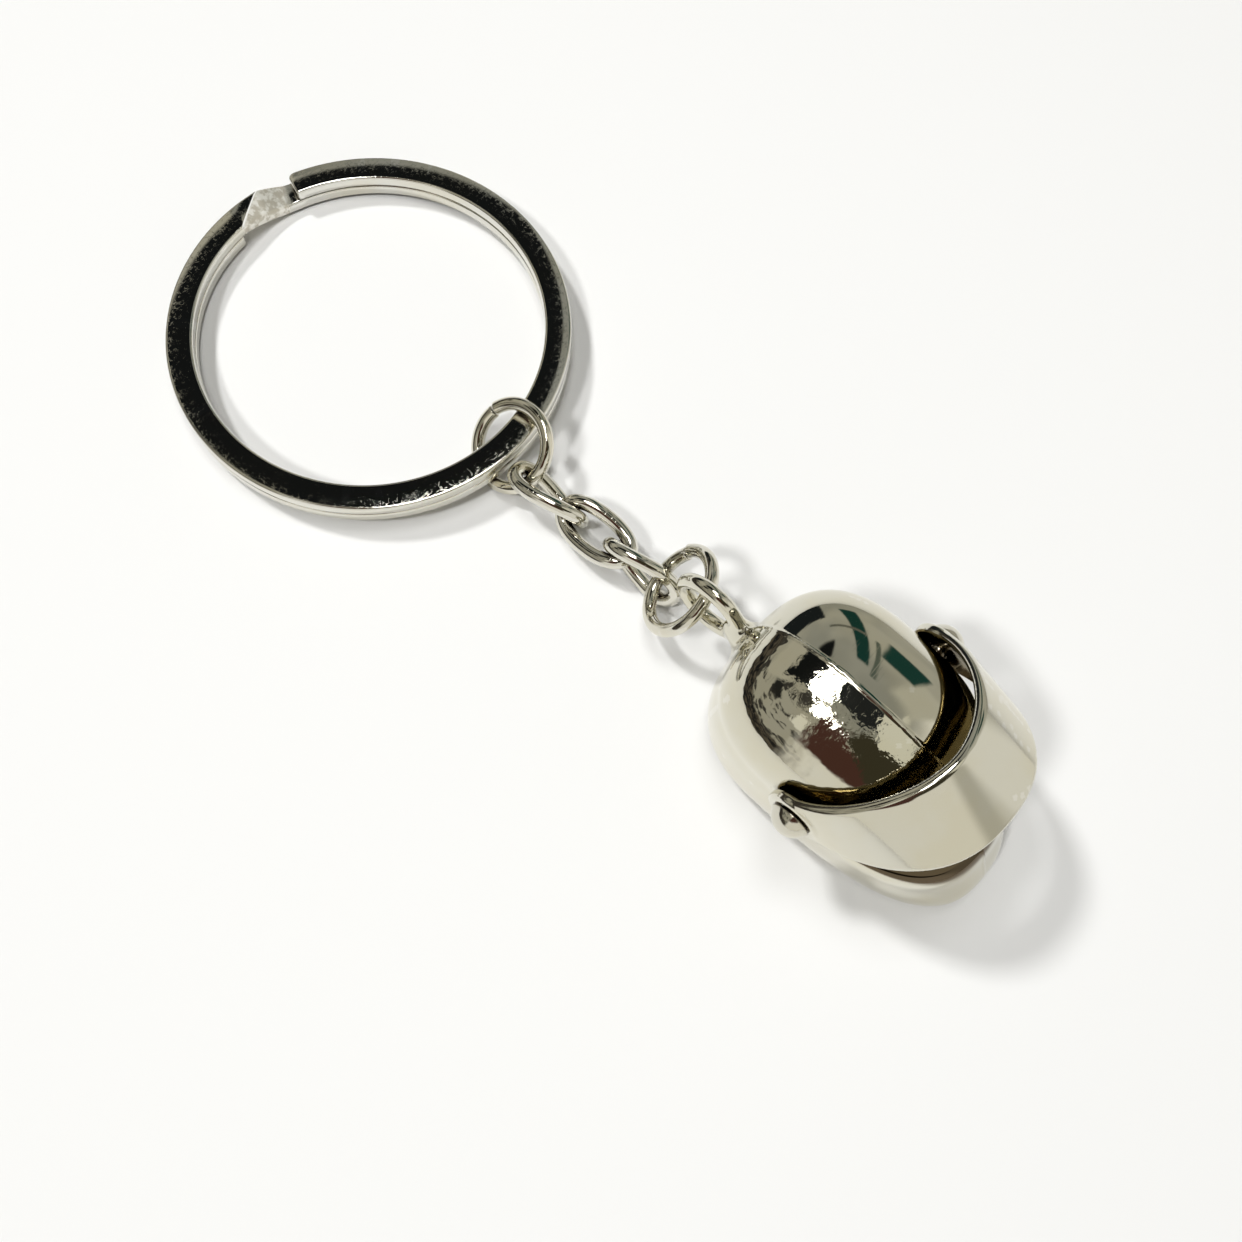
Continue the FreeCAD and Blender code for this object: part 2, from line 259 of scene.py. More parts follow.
def surface_net(field, low, high, cell):
    """Vertices, quads and vertex normals of a field's zero surface."""
    axes = [np.arange(a, b + cell, cell) for a, b in zip(low, high)]
    shape = tuple(len(a) for a in axes)
    value = np.empty(shape)
    for i, x in enumerate(axes[0]):
        yy, zz = np.meshgrid(axes[1], axes[2], indexing="ij")
        slab = np.stack([np.full(yy.size, x), yy.ravel(), zz.ravel()], 1)
        value[i] = field(slab).reshape(shape[1:])
    inside = value < 0
    n = [s - 1 for s in shape]
    corners = [(a, b, c) for a in (0, 1) for b in (0, 1) for c in (0, 1)]
    count = np.zeros(n, int)
    for a, b, c in corners:
        count += inside[a:a + n[0], b:b + n[1], c:c + n[2]]
    mixed = (count > 0) & (count < 8)
    number = np.full(n, -1)
    number[mixed] = np.arange(mixed.sum())
    where = np.argwhere(mixed)
    total = np.zeros((len(where), 3))
    hits = np.zeros(len(where))
    edges = [(p, q) for p in corners for q in corners
             if sum(q) - sum(p) == 1 and all(u <= v for u, v in zip(p, q))]
    for p, q in edges:
        vp = value[tuple((where + p).T)]
        vq = value[tuple((where + q).T)]
        cross = (vp < 0) != (vq < 0)
        share = np.where(cross, vp / np.where(cross, vp - vq, 1.0), 0.0)
        spot = np.array(p) + share[:, None] * (np.array(q) - np.array(p))
        total += spot * cross[:, None]
        hits += cross
    points = np.array(low) + (where + total / hits[:, None]) * cell
    quads = []
    for axis in range(3):
        u, v = (axis + 1) % 3, (axis + 2) % 3
        first = [slice(None)] * 3
        second = [slice(None)] * 3
        first[axis], second[axis] = slice(0, -1), slice(1, None)
        change = inside[tuple(first)] != inside[tuple(second)]
        at = np.argwhere(change)
        at = at[(at[:, u] > 0) & (at[:, v] > 0) & (at[:, u] < shape[u] - 1) & (at[:, v] < shape[v] - 1)]
        around = []
        for du, dv in ((-1, -1), (0, -1), (0, 0), (-1, 0)):
            neighbour = at.copy()
            neighbour[:, u] += du
            neighbour[:, v] += dv
            around.append(number[tuple(neighbour.T)])
        quad = np.stack(around, 1)
        outward = inside[tuple(at.T)]
        quad[~outward] = quad[~outward][:, ::-1]
        quads.append(quad)
    quads = np.concatenate(quads)
    for _ in range(4):
        slope = gradient(field, points)
        size = (slope * slope).sum(1)
        step = np.clip(field(points) / np.maximum(size, 0.05), -cell / 2, cell / 2)
        points = points - slope * step[:, None]
    normals = gradient(field, points)
    normals /= np.linalg.norm(normals, axis=1)[:, None]
    return points, quads.tolist(), normals


def gradient(field, points, step=0.004):
    """Slope of a field at some points, by central differences."""
    parts = []
    for axis in range(3):
        shift = np.zeros(3)
        shift[axis] = step
        parts.append((field(points + shift) - field(points - shift)) / (2 * step))
    return np.stack(parts, 1)


# ---------------------------------------------------------------- the pieces

def step_rise(share):
    """Height along the ring's step, 0 to 1: an easy foot, a straight slope and a tight crease at the top."""
    share = np.clip(share, 0, 1)
    total = 1 - RING_FOOT / 2 - RING_CREASE / 2
    rise = np.where(share < RING_FOOT, share ** 2 / (2 * RING_FOOT), share - RING_FOOT / 2)
    return np.where(share > 1 - RING_CREASE, total - (1 - share) ** 2 / (2 * RING_CREASE), rise) / total


def split_ring_mesh():
    """One flat wire wound two turns, with rounded edges, a slanting step and softly rounded ends."""
    low_z = RING_WIRE_T / 2
    start = RING_TIP + RING_JOGGLE - 360.0 + RING_END_LAP
    end = RING_TIP + 360.0
    section = []
    half_w, half_t = RING_WIRE_W / 2, RING_WIRE_T / 2
    for cx, cz, first in ((1, 1, 0), (-1, 1, 90), (-1, -1, 180), (1, -1, 270)):
        for step in range(7):
            a = math.radians(first + 15 * step)
            section.append((cx * (half_w - RING_EDGE_R) + RING_EDGE_R * math.cos(a),
                            cz * (half_t - RING_EDGE_R) + RING_EDGE_R * math.sin(a)))
    section = np.array(section)
    centre_r = RING_OUTER_R - half_w
    deg_per_mm = math.degrees(1 / centre_r)

    def rounding(radius, depth):
        """How far a rounded corner lies inside a square one, at a depth from the end."""
        left = max(radius - depth, 0.0)
        return radius - math.sqrt(radius * radius - left * left)

    def ring_at(angle, depth):
        """The wire's section at an angle along it, and at a depth from its nearer end."""
        across = section[:, 0] / half_w
        across = np.where(across > 0, across * (half_w - rounding(RING_END_OUTER_R, depth)),
                          across * (half_w - rounding(RING_END_INNER_R, depth)))
        up = section[:, 1] * (half_t - rounding(RING_END_FACE_R, depth)) / half_t
        length = RING_JOGGLE * (RING_STEP_SHARE - RING_STEP_SLANT * across / half_w)
        z = low_z + RING_PITCH * step_rise((angle - RING_TIP) / length) + up
        a = math.radians(angle)
        return np.stack([(centre_r + across) * math.cos(a), (centre_r + across) * math.sin(a), z], 1)

    depths = RING_END_OUTER_R * (1 - np.cos(np.linspace(0, math.pi / 2, 12)[:-1]))
    rounded = RING_END_OUTER_R * deg_per_mm
    inner = np.linspace(start + rounded, end - rounded, 900)
    rings = [ring_at(start + depth * deg_per_mm, depth) for depth in depths]
    rings += [ring_at(angle, 1.0) for angle in inner]
    rings += [ring_at(end - depth * deg_per_mm, depth) for depth in depths[::-1]]
    points = np.array(rings).reshape(-1, 3)
    points = turned(points, "Y", -RING_TILT)
    points[:, 2] += RING_OUTER_R * math.sin(math.radians(RING_TILT))
    faces = tube_faces(len(rings), len(section), False)
    return points, [face[::-1] for face in faces]


def jump_ring_mesh(centre, tilt_x, tilt_y, cut):
    """A ring of round wire, cut through once and slightly sprung."""
    count = 260
    gap = JUMP_CUT / 2 + JUMP_END_TRIM
    sweep = np.radians(np.linspace(cut + gap, cut + 360 - gap, count))
    height = np.linspace(-JUMP_SPRING / 2, JUMP_SPRING / 2, count)
    path = np.stack([JUMP_R * np.cos(sweep), JUMP_R * np.sin(sweep), height], 1)
    path = turned(turned(path, "X", tilt_x), "Y", tilt_y) + centre
    return wire(path, JUMP_WIRE_R, False)


def link_mesh(centre, yaw, pitch, roll):
    """A curb link: a full oval of round wire, twisted about its long axis."""
    angle = np.linspace(0, 2 * math.pi, 1441)[:-1]
    power = 2 / LINK_SQUARENESS
    c, s = np.cos(angle), np.sin(angle)
    along = LINK_HALF_LENGTH * np.sign(c) * np.abs(c) ** power
    across = LINK_HALF_WIDTH * np.sign(s) * np.abs(s) ** power
    twist = math.radians(LINK_TWIST) * along / (2 * LINK_HALF_LENGTH)
    path = np.stack([along, across * np.cos(twist), across * np.sin(twist)], 1)
    path = even_loop(path, 220)
    path = turned(turned(turned(path, "X", roll), "Y", pitch), "Z", yaw) + centre
    return wire(path, LINK_WIRE_R, True)


def even_loop(path, count):
    """The closed path again, with evenly spaced points."""
    closed = np.vstack([path, path[:1]])
    run = np.concatenate([[0], np.cumsum(np.linalg.norm(np.diff(closed, axis=0), axis=1))])
    at = np.linspace(0, run[-1], count, endpoint=False)
    return np.stack([np.interp(at, run, closed[:, k]) for k in range(3)], 1)


def smooth_fit(z, values):
    """A cubic spline through a few outline sizes, flat at its top end."""
    z = np.asarray(z, float)
    values = np.asarray(values, float)
    n = len(z)
    rows = np.zeros((n, n))
    right = np.zeros(n)
    h = np.diff(z)
    rows[0, 0] = 1.0
    for i in range(1, n - 1):
        rows[i, i - 1:i + 2] = h[i - 1], 2 * (h[i - 1] + h[i]), h[i]
        right[i] = 6 * ((values[i + 1] - values[i]) / h[i] - (values[i] - values[i - 1]) / h[i - 1])
    rows[-1, -2:] = h[-1], 2 * h[-1]
    right[-1] = 6 * (0.0 - (values[-1] - values[-2]) / h[-1])
    bend = np.linalg.solve(rows, right)

    def at(x):
        i = np.clip(np.searchsorted(z, x) - 1, 0, n - 2)
        x = np.clip(x, z[0], z[-1])
        a, b, w = z[i + 1] - x, x - z[i], h[i]
        return (bend[i] * a ** 3 + bend[i + 1] * b ** 3) / (6 * w) + \
            (values[i] / w - bend[i] * w / 6) * a + (values[i + 1] / w - bend[i + 1] * w / 6) * b
    return at


REAR_AT = smooth_fit(OUTLINE_Z, OUTLINE_REAR)
HALF_AT = smooth_fit(OUTLINE_Z, OUTLINE_HALF)
FRONT_AT = smooth_fit(OUTLINE_Z, OUTLINE_FRONT)


def oval(dx, y, rear, half_width, front, power):
    """How far out a point lies on a plan outline (1 is on it), and how fast that grows."""
    reach = np.where(dx > 0, front, rear)
    u = np.abs(dx) / reach
    v = np.abs(y) / half_width
    level = np.maximum((u ** power + v ** power) ** (1 / power), 1e-4)
    slope = level ** (1 - power) * np.hypot(u ** (power - 1) / reach, v ** (power - 1) / half_width)
    return level, np.maximum(slope, 1e-3)


def helmet_field(p, inset):
    """The helmet's outside, or with an inset its hollow."""
    dx, y, z = p[:, 0] - SHELL_X, p[:, 1], p[:, 2]
    rear, half_width, front = REAR_AT(z) - inset, HALF_AT(z) - inset, FRONT_AT(z) - inset
    level, slope = oval(dx, y, rear, half_width, front, PLAN_SQUARENESS)
    wall = (level - 1) / slope
    up = np.maximum(z - CROWN_BASE_Z, 0.0) / (CROWN_HEIGHT - inset)
    q = CROWN_SQUARENESS
    both = np.maximum((level ** q + up ** q) ** (1 / q), 1e-4)
    steep = both ** (1 - q) * np.hypot(level ** (q - 1) * slope, up ** (q - 1) / (CROWN_HEIGHT - inset))
    crown = (both - 1) / np.maximum(steep, 1e-3)
    return np.where(z > CROWN_BASE_Z, crown, wall)


def shell_field(p):
    """The helmet shell: body, keel and eye, less the hollow, the neck, the port and the rivet bores."""
    x, y, z = p[:, 0], p[:, 1], p[:, 2]
    outer = helmet_field(p, 0.0)
    keel = np.exp(-(y / KEEL_HALF_WIDTH) ** 2) * KEEL_HEIGHT
    skirt = np.exp(-np.abs(y) / KEEL_SKIRT_WIDTH) * KEEL_SKIRT_HEIGHT
    fade = 1 / (1 + np.exp(-(z - KEEL_FADE_Z) * KEEL_FADE_RATE))
    outer = outer - keel * fade - skirt * fade
    ex, ey, ez = EYE_CENTRE
    loop = np.hypot(np.hypot(x - ex, z - ez) - EYE_R, y - ey) - EYE_WIRE_R
    along = np.clip(x, ex + EYE_R - 0.3, SHELL_X - OUTLINE_REAR[-1] + 0.4)
    root = np.sqrt((x - along) ** 2 + y ** 2 + (z - ez) ** 2) - EYE_ROOT_R
    eye = least(loop, root, EYE_ROOT_BLEND)
    solid = least(outer, eye, EYE_BODY_BLEND)
    solid = most(solid, -z, RIM_ROUND)
    hollow = helmet_field(p, WALL)
    neck_size = [outline[0] * NECK_SCALE for outline in (OUTLINE_REAR, OUTLINE_HALF, OUTLINE_FRONT)]
    neck_level, neck_slope = oval(x - SHELL_X, y, *neck_size, PLAN_SQUARENESS)
    neck = np.maximum((neck_level - 1) / neck_slope, z - NECK_DEPTH)
    hollow = least(hollow, neck, NECK_ROUND)
    shell = most(solid, -hollow, HOLLOW_ROUND)
    px, py, pz = PIVOT
    sill = pz - EAR_R - SILL_GAP + VISOR_LOW_SLOPE * (x - px)
    brow = pz + BROW_AT_PIVOT + VISOR_TOP_SLOPE * (x - px)
    port = most(most(PORT_REAR_X - x, sill - z, PORT_CORNER), z - brow, PORT_CORNER)
    shell = most(shell, -port, PORT_EDGE_ROUND)
    disc = np.hypot(x - px, z - pz)
    flats = np.maximum(disc - FLAT_R, FLAT_Y - np.abs(y))
    bore = np.maximum(disc - RIVET_R, BORE_FROM_Y - np.abs(y))
    return most(most(shell, -flats, FLAT_ROUND), -bore, BORE_ROUND)


def visor_field(p):
    """The visor where it is at rest, raised about its pivot."""
    local = turned(p, "Y", VISOR_RAISED, np.array(PIVOT))
    f, y, z = local[:, 0] - PIVOT[0], np.abs(local[:, 1]), local[:, 2] - PIVOT[2]
    ahead = np.maximum(f, 0.0)
    low = -VISOR_HALF_AT_PIVOT + VISOR_LOW_SLOPE * ahead
    top = VISOR_HALF_AT_PIVOT + VISOR_TOP_SLOPE * ahead
    share = (z - low) / (top - low)
    reach = VISOR_LOW_REACH + (VISOR_TOP_REACH - VISOR_LOW_REACH) * np.clip(share, -0.4, 1.4)
    power = VISOR_LOW_SQUARENESS + (VISOR_TOP_SQUARENESS - VISOR_LOW_SQUARENESS) * np.clip(share, 0, 1)
    width = EAR_INNER_Y + EAR_PROUD + VISOR_WALL

    def within(inset):
        """How far a point lies outside the band's outer face, or outside one set in from it."""
        level, slope = oval(ahead, y, reach - inset, width - inset, reach - inset, power)
        return (level - 1) / slope

    edge = np.maximum(low - z, z - top)
    band = most(most(within(0.0), -within(VISOR_WALL), VISOR_INNER_ROUND), edge, VISOR_EDGE_ROUND)
    band = np.maximum(band, -f)
    disc = np.hypot(f, z)
    ear_faces = np.maximum(EAR_INNER_Y - y, y - EAR_INNER_Y - VISOR_WALL - 2 * EAR_PROUD)
    ear = most(disc - EAR_R, ear_faces, EAR_ROUND)
    whole = least(band, ear, EAR_BLEND)
    return most(whole, -(disc - RIVET_R - RIVET_GAP), BORE_ROUND)


def rivet_mesh(side):
    """A domed head with a soft rim, the shank, and the tail set over inside the shell."""
    seat = EAR_INNER_Y + VISOR_WALL + 2 * EAR_PROUD + RIVET_GAP
    inside = EAR_INNER_Y - 0.05 - WALL - RIVET_TAIL_H
    profile = [(0.0, inside), (RIVET_TAIL_R - 0.08, inside), (RIVET_TAIL_R, inside + 0.06),
               (RIVET_R, inside + RIVET_TAIL_H), (RIVET_R, seat), (RIVET_HEAD_R - RIVET_LIP_R, seat)]
    ball = (RIVET_HEAD_R ** 2 + RIVET_HEAD_H ** 2) / (2 * RIVET_HEAD_H)
    for step in range(5):
        a = math.radians(-90 + 30 * step)
        profile.append((RIVET_HEAD_R - RIVET_LIP_R + RIVET_LIP_R * math.cos(a),
                        seat + RIVET_LIP_R + RIVET_LIP_R * math.sin(a) * 0.9))
    widest = math.asin((RIVET_HEAD_R - 0.07) / ball)
    for step in range(1, 15):
        a = widest * (1 - step / 14)
        profile.append((ball * math.sin(a), seat + RIVET_HEAD_H - ball * (1 - math.cos(a))))
    points, faces = [], []
    for r, h in profile:
        for k in range(RIVET_AROUND):
            a = 2 * math.pi * k / RIVET_AROUND
            points.append((PIVOT[0] + r * math.cos(a), side * h, PIVOT[2] + r * math.sin(a)))
    for i in range(len(profile) - 1):
        here, there = i * RIVET_AROUND, (i + 1) * RIVET_AROUND
        for k in range(RIVET_AROUND):
            m = (k + 1) % RIVET_AROUND
            face = (here + k, here + m, there + m, there + k)
            faces.append(face if side > 0 else face[::-1])
    return weld(points, faces)


def weld(points, faces):
    """Joins points that lie together, as at a turned profile's axis, and drops faces that vanish."""
    seen, order, kept = {}, [], []
    for point in points:
        key = tuple(round(v, 5) for v in point)
        if key not in seen:
            seen[key] = len(kept)
            kept.append(point)
        order.append(seen[key])
    clean = []
    for face in faces:
        corners = []
        for index in face:
            if order[index] not in corners:
                corners.append(order[index])
        if len(corners) > 2:
            clean.append(tuple(corners))
    return kept, clean


# ---------------------------------------------------------------- materials

PALE_WEAR = (0.86, 0.85, 0.82, 1.0)
CORNER_BROWN = (0.23, 0.19, 0.13, 1.0)
PIT_BROWN = (0.30, 0.27, 0.22, 1.0)
# painted shade: the dark brown that corners and close gaps are mixed toward
PAINTED_GAP_SHADE = (0.10, 0.078, 0.062, 1.0)
PRESSED_DULL = (0.60, 0.56, 0.47, 1.0)
PRESSED_PALE = (0.93, 0.91, 0.84, 1.0)
# painted highlight: the white of the bright line along the ring's crease
PAINTED_CREASE_HIGHLIGHT = (0.97, 0.96, 0.92, 1.0)
GAP_SHADE_REACH = 0.7 * MM     # how near another face has to be for painted shade in a corner or gap
FINE_DEPTH = 0.0012 * MM
SCRATCH_DEPTH = 0.0035 * MM
DUST_DEPTH = 0.006 * MM
WAVE_DEPTH = 0.03 * MM
SCRATCH_STRETCH = (1.0, 0.035, 0.035)
SCRATCH_RUNS = [((0, 0, 24), (0, 0, 0)), ((15, 30, 71), (2, 1, 4)), ((50, -20, 128), (5, 3, 2))]


class Graph:
    """A short way to write a material's nodes."""

    def __init__(self, tree):
        self.tree = tree

    def node(self, kind, **settings):
        made = self.tree.nodes.new(kind)
        for name, value in settings.items():
            setattr(made, name, value)
        return made

    def feed(self, socket, value):
        """Links another node's output to a socket, or sets the socket to a plain value."""
        if isinstance(value, bpy.types.NodeSocket):
            self.tree.links.new(value, socket)
        else:
            socket.default_value = value

    def math(self, operation, a, b=0.0):
        made = self.node("ShaderNodeMath", operation=operation)
        self.feed(made.inputs[0], a)
        self.feed(made.inputs[1], b)
        return made.outputs[0]

    def ramp(self, value, low, high, to_low=0.0, to_high=1.0):
        """A smooth step from to_low, where the value is low, to to_high, where it is high."""
        made = self.node("ShaderNodeMapRange", clamp=True, interpolation_type="SMOOTHSTEP")
        self.feed(made.inputs[0], value)
        for socket, number in zip(made.inputs[1:5], (low, high, to_low, to_high)):
            self.feed(socket, number)
        return made.outputs[0]

    def mix(self, share, a, b):
        """Colour a, going over to colour b as the share goes from 0 to 1."""
        made = self.node("ShaderNodeMix", data_type="RGBA")
        self.feed(made.inputs[0], share)
        self.feed(made.inputs[6], a)
        self.feed(made.inputs[7], b)
        return made.outputs[2]

    def noise(self, place, scale, detail=2.0, rough=0.5, stretch=None, turn=(0, 0, 0), offset=(0, 0, 0)):
        mapped = self.node("ShaderNodeMapping")
        self.feed(mapped.inputs[0], place)
        mapped.inputs[1].default_value = offset
        mapped.inputs[2].default_value = [math.radians(v) for v in turn]
        mapped.inputs[3].default_value = stretch or (1, 1, 1)
        made = self.node("ShaderNodeTexNoise")
        self.feed(made.inputs["Vector"], mapped.outputs[0])
        made.inputs["Scale"].default_value = scale
        made.inputs["Detail"].default_value = detail
        made.inputs["Roughness"].default_value = rough
        return made.outputs[0]

    def cells(self, place, scale):
        """Distance to the nearest of some scattered points."""
        made = self.node("ShaderNodeTexVoronoi")
        self.feed(made.inputs["Vector"], place)
        made.inputs["Scale"].default_value = scale
        return made.outputs["Distance"]

    def parts(self, vector):
        """The x, y and z of a vector."""
        made = self.node("ShaderNodeSeparateXYZ")
        self.feed(made.inputs[0], vector)
        return made.outputs

    def facing(self):
        """Which way a face looks, in the piece's own frame."""
        return self.node("ShaderNodeTexCoord").outputs["Normal"]

    def bump(self, height, distance, strength=1.0, normal=None):
        made = self.node("ShaderNodeBump")
        self.feed(made.inputs["Height"], height)
        self.feed(made.inputs["Distance"], distance)
        self.feed(made.inputs["Strength"], strength)
        if normal is not None:
            self.feed(made.inputs["Normal"], normal)
        return made.outputs[0]


def scratches(g, place, scale):
    """Thin straight scratches in several directions: 1 in a scratch, 0 on the clean plate."""
    total = None
    for turn, offset in SCRATCH_RUNS:
        lines = g.noise(place, scale, 1.0, 0.4, SCRATCH_STRETCH, turn, offset)
        thin = g.ramp(g.math("ABSOLUTE", g.math("SUBTRACT", lines, 0.5)), 0.0, 0.012, 1.0, 0.0)
        where = g.ramp(g.noise(place, 260.0, 2.0, 0.5, None, turn, offset), 0.52, 0.62)
        line = g.math("MULTIPLY", thin, where)
        total = line if total is None else g.math("MAXIMUM", total, line)
    return total


def nickel(name, tone, rough, skins=(), speckle=0.0, scratch=0.5, wear=0.35, waviness=0.0,
           waviness_scale=180.0, lining_and_shade=None, pressed=None):
    """Bright nickel plate: a little warm, faintly pitted and scratched, duller in places.

    Corners are browner, corners and close gaps get painted shade, edges paler.  Scales count noise cells per
    metre.  A skin is a cratered stretch, as (scale, depth in mm, mask); lining is the colour of inward
    faces, brown thin plating darkened by painted shade; pressed masks a satin, mottled stretch and the
    painted highlight along the crease beside it.
    """
    material = bpy.data.materials.new(name)
    material.use_nodes = True
    g = Graph(material.node_tree)
    material.node_tree.nodes.clear()
    place = g.node("ShaderNodeTexCoord").outputs["Object"]
    shader = g.node("ShaderNodeBsdfPrincipled")
    output = g.node("ShaderNodeOutputMaterial")
    g.feed(output.inputs[0], shader.outputs[0])
    shader.inputs["Metallic"].default_value = 1.0

    cloud = g.noise(place, 210.0, 3.0, 0.55)
    fine = g.noise(place, 2600.0, 3.0, 0.6)
    pits = g.ramp(g.cells(place, 1500.0), 0.0, 0.07, 1.0, 0.0)
    pit_where = g.ramp(g.noise(place, 500.0, 2.0, 0.5, None, (20, 40, 10), (3, 5, 1)), 0.60, 0.68)
    pits = g.math("MULTIPLY", pits, pit_where)
    lines = scratches(g, place, 1400.0)
    edge = g.node("ShaderNodeNewGeometry").outputs["Pointiness"]
    worn = g.ramp(edge, 0.505, 0.56)
    corner = g.ramp(edge, 0.43, 0.49, 1.0, 0.0)

    warm = [tone[0] * 0.98, tone[1] * 0.96, tone[2] * 0.90, 1.0]
    cool = [*tone, 1.0]
    colour = g.mix(g.ramp(cloud, 0.35, 0.68), cool, warm)
    colour = g.mix(g.math("MULTIPLY", worn, wear), colour, PALE_WEAR)
    colour = g.mix(g.math("MULTIPLY", corner, 0.65), colour, CORNER_BROWN)
    colour = g.mix(g.math("MULTIPLY", pits, 0.55), colour, PIT_BROWN)
    # painted shade: an occlusion test darkens the colour wherever other faces are close
    gap_shade_ao = g.node("ShaderNodeAmbientOcclusion", samples=6)
    gap_shade_ao.inputs["Distance"].default_value = GAP_SHADE_REACH
    gap_shade_share = g.ramp(gap_shade_ao.outputs["AO"], 0.30, 0.72, 0.85, 0.0)
    colour = g.mix(gap_shade_share, colour, PAINTED_GAP_SHADE)
    if pressed:
        mark, crease = pressed(g, place)
        mottle = g.ramp(g.noise(place, 1700.0, 2.0, 0.6), 0.40, 0.62)
        colour = g.mix(mark, colour, g.mix(mottle, PRESSED_DULL, PRESSED_PALE))
        # painted highlight: a white line along the step's crease
        colour = g.mix(crease, colour, PAINTED_CREASE_HIGHLIGHT)
    # lining colour: brown thin plating, darkened as painted shade inside the hollow and on the sill under
    # the visor
    if lining_and_shade:
        colour = g.mix(inward(g, place), colour, (*lining_and_shade, 1.0))
    g.feed(shader.inputs["Base Color"], colour)

    base = g.math("ADD", rough, g.math("MULTIPLY", g.ramp(cloud, 0.4, 0.75), 0.03))
    if pressed:
        base = g.math("ADD", base, g.math("MULTIPLY", mark, 0.30))
        # the crease's painted highlight also loses most of its metal, so its white shows whatever it faces
        satin = g.math("MAXIMUM", g.math("MULTIPLY", mark, 0.45), g.math("MULTIPLY", crease, 0.85))
        g.feed(shader.inputs["Metallic"], g.math("SUBTRACT", 1.0, satin))
    base = g.math("ADD", base, g.math("MULTIPLY", fine, 0.03))
    base = g.math("ADD", base, g.math("MULTIPLY", lines, 0.22 * scratch))
    base = g.math("ADD", base, g.math("MULTIPLY", pits, 0.25))
    base = g.math("ADD", base, g.math("MULTIPLY", corner, 0.2))
    g.feed(shader.inputs["Roughness"], base)

    normal = g.bump(fine, FINE_DEPTH, 0.5)
    cuts = g.math("MULTIPLY", g.math("MAXIMUM", lines, pits), -1.0)
    normal = g.bump(cuts, SCRATCH_DEPTH * scratch, 1.0, normal)
    if speckle:
        dust = g.ramp(g.noise(place, 3400.0, 4.0, 0.75, None, (0, 30, 0), (7, 2, 9)), 0.52, 0.7)
        normal = g.bump(dust, DUST_DEPTH * speckle, 1.0, normal)
    if waviness:
        waves = g.noise(place, waviness_scale, 1.0, 0.4, None, (10, 20, 30), (4, 4, 4))
        normal = g.bump(waves, WAVE_DEPTH * waviness, 1.0, normal)
    for scale, depth, mask in skins:
        skin = g.math("SUBTRACT", g.noise(place, scale, 2.0, 0.5, None, (0, 0, 0), (1, 8, 3)), 0.5)
        normal = g.bump(g.math("MULTIPLY", skin, mask(g, place)), depth * MM, 1.0, normal)
    g.feed(shader.inputs["Normal"], normal)
    return material


def inward(g, place):
    """1 on faces that look toward the helmet's middle, and on its sill: brown thin plating, made darker as
    painted shade of the hollow.
    """
    away = g.node("ShaderNodeVectorMath", operation="SUBTRACT")
    g.feed(away.inputs[0], place)
    away.inputs[1].default_value = [v * MM for v in (SHELL_X + 4.0, 0.0, PIVOT[2])]
    unit = g.node("ShaderNodeVectorMath", operation="NORMALIZE")
    g.feed(unit.inputs[0], away.outputs[0])
    outward = g.node("ShaderNodeVectorMath", operation="DOT_PRODUCT")
    g.feed(outward.inputs[0], unit.outputs[0])
    g.feed(outward.inputs[1], g.facing())
    x, _, z = g.parts(place)
    past_eye = g.ramp(x, 36.8 * MM, 37.4 * MM)
    inner = g.math("MULTIPLY", g.ramp(outward.outputs["Value"], -0.25, -0.05, 1.0, 0.0), past_eye)
    level = g.math("MULTIPLY", g.ramp(z, 5.6 * MM, 6.2 * MM), g.ramp(z, 7.8 * MM, 8.4 * MM, 1.0, 0.0))
    upward = g.ramp(g.parts(g.facing())[2], 0.35, 0.6)
    ahead = g.ramp(x, PORT_REAR_X * MM - 0.1 * MM, PORT_REAR_X * MM + 0.5 * MM)
    sill = g.math("MULTIPLY", g.math("MULTIPLY", upward, level), ahead)
    return g.math("MAXIMUM", inner, sill)


def right_side(g, place):
    """1 on the crown's right-hand half as worn, fading out at the keel and down the sides."""
    _, y, z = g.parts(place)
    side = g.ramp(y, -0.6 * MM, -0.1 * MM, 1.0, 0.12)
    return g.math("MULTIPLY", side, g.ramp(z, 10.0 * MM, 12.0 * MM))


def right_top(g, place):
    """1 round the very top of the crown's right-hand half."""
    _, y, z = g.parts(place)
    side = g.ramp(y, -0.5 * MM, -0.1 * MM, 1.0, 0.02)
    return g.math("MULTIPLY", side, g.ramp(z, 12.8 * MM, 13.7 * MM, 0.10, 1.0))


def ring_step(g, place):
    """On the split ring's pressed step: a mask of its slope, and one of the painted highlight along the
    crease at its top.
    """
    x, y, _ = g.parts(place)
    back = g.math("ARCTAN2", g.math("MULTIPLY", y, -1.0), g.math("MULTIPLY", x, -1.0))
    angle = g.math("SUBTRACT", g.math("MULTIPLY", back, math.degrees(1.0)), RING_TIP - 180.0)
    out = g.math("SQRT", g.math("ADD", g.math("MULTIPLY", x, x), g.math("MULTIPLY", y, y)))
    across = g.math("SUBTRACT", g.math("MULTIPLY", out, 1 / MM), RING_OUTER_R - RING_WIRE_W / 2)
    narrowing = g.math("MULTIPLY", across, RING_JOGGLE * RING_STEP_SLANT)
    share = g.math("DIVIDE", angle, g.math("SUBTRACT", RING_JOGGLE * RING_STEP_SHARE, narrowing))
    slope = g.math("MULTIPLY", g.ramp(share, 0.10, 0.25), g.ramp(share, 0.95, 0.97, 1.0, 0.0))
    # painted highlight: a narrow band at the top of the step, on upward faces
    line = g.ramp(g.math("ABSOLUTE", g.math("SUBTRACT", share, 0.975)), 0.018, 0.035, 1.0, 0.0)
    return slope, g.math("MULTIPLY", line, g.ramp(g.parts(g.facing())[2], 0.3, 0.6))


